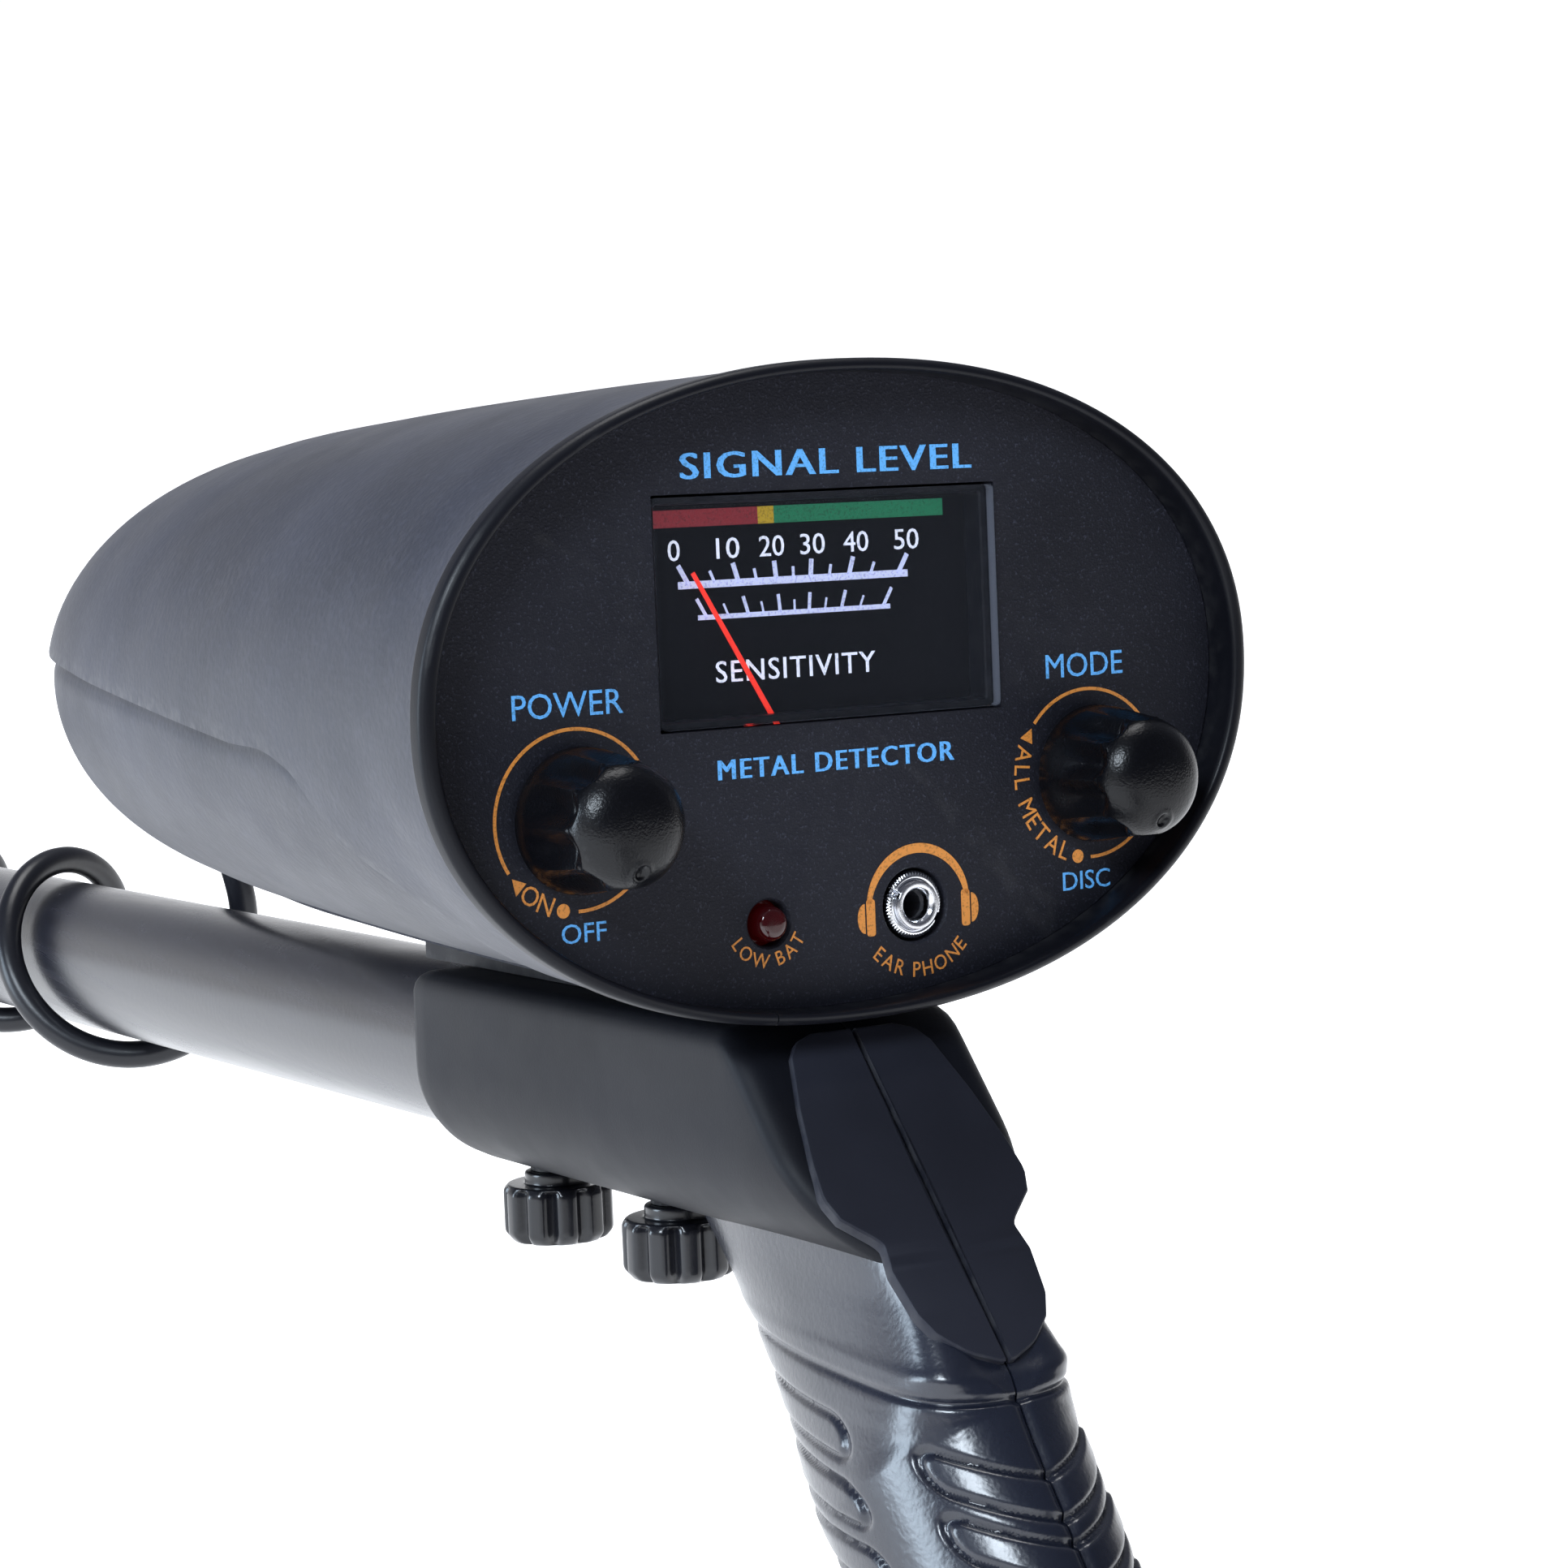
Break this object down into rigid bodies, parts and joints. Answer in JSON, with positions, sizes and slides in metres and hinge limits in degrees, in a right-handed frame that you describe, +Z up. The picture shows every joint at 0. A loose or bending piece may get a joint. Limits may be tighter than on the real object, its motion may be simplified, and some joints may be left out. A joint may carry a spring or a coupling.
{
  "type": "metal detector",
  "caption": "Hand-held metal detector with a metered control box on a pistol-grip handle, telescoping stem, round tilting search coil and arm cuff.",
  "frame": {"origin": "on the ground under the centre of the overall box, with the detector standing on its flat coil and its rear foot", "axes": "+Y forward along the detector, from the arm cuff to the coil; +X to the user's right; +Z up. The stem falls forward by 8 degrees"},
  "size_m": [0.21, 1.2122, 0.2376],
  "materials": {
    "case_plastic": "leather-grained injection-moulded plastic, dark slate grey with a soft sheen",
    "panel_plastic": "fine granular black panel",
    "moulded_black": "smooth matte charcoal plastic",
    "gloss_black": "semi-gloss black plastic with a fine orange-peel grain",
    "coated_tube": "satin black powder-coated aluminium tube",
    "rubber": "black rubber",
    "lead_jacket": "smooth semi-gloss PVC lead jacket",
    "clear_window": "clear acrylic",
    "dial_face": "printed black dial",
    "needle_paint": "red enamel",
    "lamp_red": "dark red translucent lens",
    "plated": "bright nickel plate",
    "steel": "zinc-plated steel",
    "board": "green solder-masked glass-fibre board",
    "cell": "plain wrapped battery can",
    "copper": "enamelled copper winding",
    "foam": "closed-cell foam liner"
  },
  "bodies": {
    "frame": {"case_shell": "case_plastic", "front_rim": "moulded_black", "front_panel": "panel_plastic", "meter_housing": "moulded_black", "meter_dial": "dial_face", "meter_window": "clear_window", "meter_works": "plated", "power_potentiometer": "steel", "mode_potentiometer": "steel", "low_battery_lamp": "lamp_red", "phone_jack": "moulded_black", "jack_nut": "plated", "circuit_board": "board", "speaker": "moulded_black", "battery_left": "cell", "battery_right": "cell", "battery_holder": "moulded_black", "coil_socket": "plated", "coil_plug": "moulded_black", "box_saddle": "moulded_black", "handle_left": "moulded_black", "handle_right": "moulded_black", "grip_left": "gloss_black", "grip_right": "gloss_black", "arm_tube": "coated_tube", "arm_tube_cap": "rubber", "upper_stem": "coated_tube", "lock_body": "moulded_black", "lead_upper": "lead_jacket", "lead_slack": "lead_jacket"},
    "power_control": {"power_knob": "gloss_black", "power_shaft": "steel"},
    "mode_control": {"mode_knob": "gloss_black", "mode_shaft": "steel"},
    "needle": {"meter_needle": "needle_paint"},
    "left_door": {"battery_door_left": "case_plastic"},
    "right_door": {"battery_door_right": "case_plastic"},
    "front_shoe": {"clamp_shoe_front": "rubber"},
    "front_screw": {"thumb_screw_front": "gloss_black"},
    "rear_shoe": {"clamp_shoe_rear": "rubber"},
    "rear_screw": {"thumb_screw_rear": "gloss_black"},
    "lower_stem": {"lower_stem": "coated_tube", "stem_fork": "moulded_black", "washer_left": "rubber", "washer_right": "rubber", "lead_lower": "lead_jacket", "lead_coil": "lead_jacket"},
    "lock_nut": {"lock_nut": "moulded_black"},
    "coil": {"coil_top": "moulded_black", "coil_underside": "moulded_black", "transmit_winding": "copper", "receive_winding": "copper", "coil_gland": "rubber", "coil_bolt": "gloss_black"},
    "coil_nut": {"coil_nut": "gloss_black"},
    "cuff": {"cuff_bracket": "moulded_black", "arm_cuff": "moulded_black", "cuff_liner": "foam", "foot_pad": "rubber"},
    "cuff_screw": {"cuff_screw": "gloss_black"}
  },
  "joints": [
    {"name": "power_knob_turn", "type": "hinge", "parent": "frame", "child": "power_control", "pos_m": [-0.0373, -0.24576, 0.18437], "axis": [0, 0.9903, -0.1392], "range_deg": [0, 300]},
    {"name": "mode_knob_turn", "type": "hinge", "parent": "frame", "child": "mode_control", "pos_m": [0.0373, -0.24576, 0.18437], "axis": [0, 0.9903, -0.1392], "range_deg": [0, 300]},
    {"name": "needle_swing", "type": "hinge", "parent": "frame", "child": "needle", "pos_m": [-0.0026, -0.24194, 0.18565], "axis": [0, 0.9903, -0.1392], "range_deg": [0, 64], "stiffness_Nm_per_rad": 0.0005},
    {"name": "left_door_slide", "type": "slide", "parent": "frame", "child": "left_door", "axis": [0, 0.9903, -0.1392], "range_m": [0, 0.06]},
    {"name": "right_door_slide", "type": "slide", "parent": "frame", "child": "right_door", "axis": [0, 0.9903, -0.1392], "range_m": [0, 0.06]},
    {"name": "front_shoe_slide", "type": "slide", "parent": "frame", "child": "front_shoe", "axis": [0, -0.1392, -0.9903], "range_m": [0, 0.00175]},
    {"name": "front_screw_turn", "type": "hinge", "parent": "front_shoe", "child": "front_screw", "pos_m": [0, -0.17657, 0.10901], "axis": [0, -0.1392, -0.9903], "range_deg": [0, 504]},
    {"name": "rear_shoe_slide", "type": "slide", "parent": "frame", "child": "rear_shoe", "axis": [0, -0.1392, -0.9903], "range_m": [0, 0.00175]},
    {"name": "rear_screw_turn", "type": "hinge", "parent": "rear_shoe", "child": "rear_screw", "pos_m": [0, -0.21024, 0.11374], "axis": [0, -0.1392, -0.9903], "range_deg": [0, 504]},
    {"name": "stem_slide", "type": "slide", "parent": "frame", "child": "lower_stem", "axis": [0, 0.9903, -0.1392], "range_m": [-0.12, 0.08], "deforming": ["lead_slack"]},
    {"name": "lock_turn", "type": "hinge", "parent": "frame", "child": "lock_nut", "pos_m": [0, 0.18821, 0.08198], "axis": [0, 0.9903, -0.1392], "range_deg": [0, 90]},
    {"name": "coil_tilt", "type": "hinge", "parent": "lower_stem", "child": "coil", "pos_m": [0, 0.50114, 0.038], "axis": [1, 0, 0], "range_deg": [-10, 90], "deforming": ["lead_coil"]},
    {"name": "coil_nut_turn", "type": "hinge", "parent": "coil", "child": "coil_nut", "pos_m": [0.02, 0.50114, 0.038], "axis": [1, 0, 0], "range_deg": [0, 360]},
    {"name": "cuff_slide", "type": "slide", "parent": "frame", "child": "cuff", "axis": [0, 0.9903, -0.1392], "range_m": [-0.03, 0.06]},
    {"name": "cuff_screw_turn", "type": "hinge", "parent": "cuff", "child": "cuff_screw", "pos_m": [0.02, -0.54816, 0.05171], "axis": [1, 0, 0], "range_deg": [0, 360]}
  ],
  "couplings": [
    {"joint": "front_shoe_slide", "follows": "front_screw_turn", "m_per_rad": 0.00019894},
    {"joint": "rear_shoe_slide", "follows": "rear_screw_turn", "m_per_rad": 0.00019894}
  ]
}
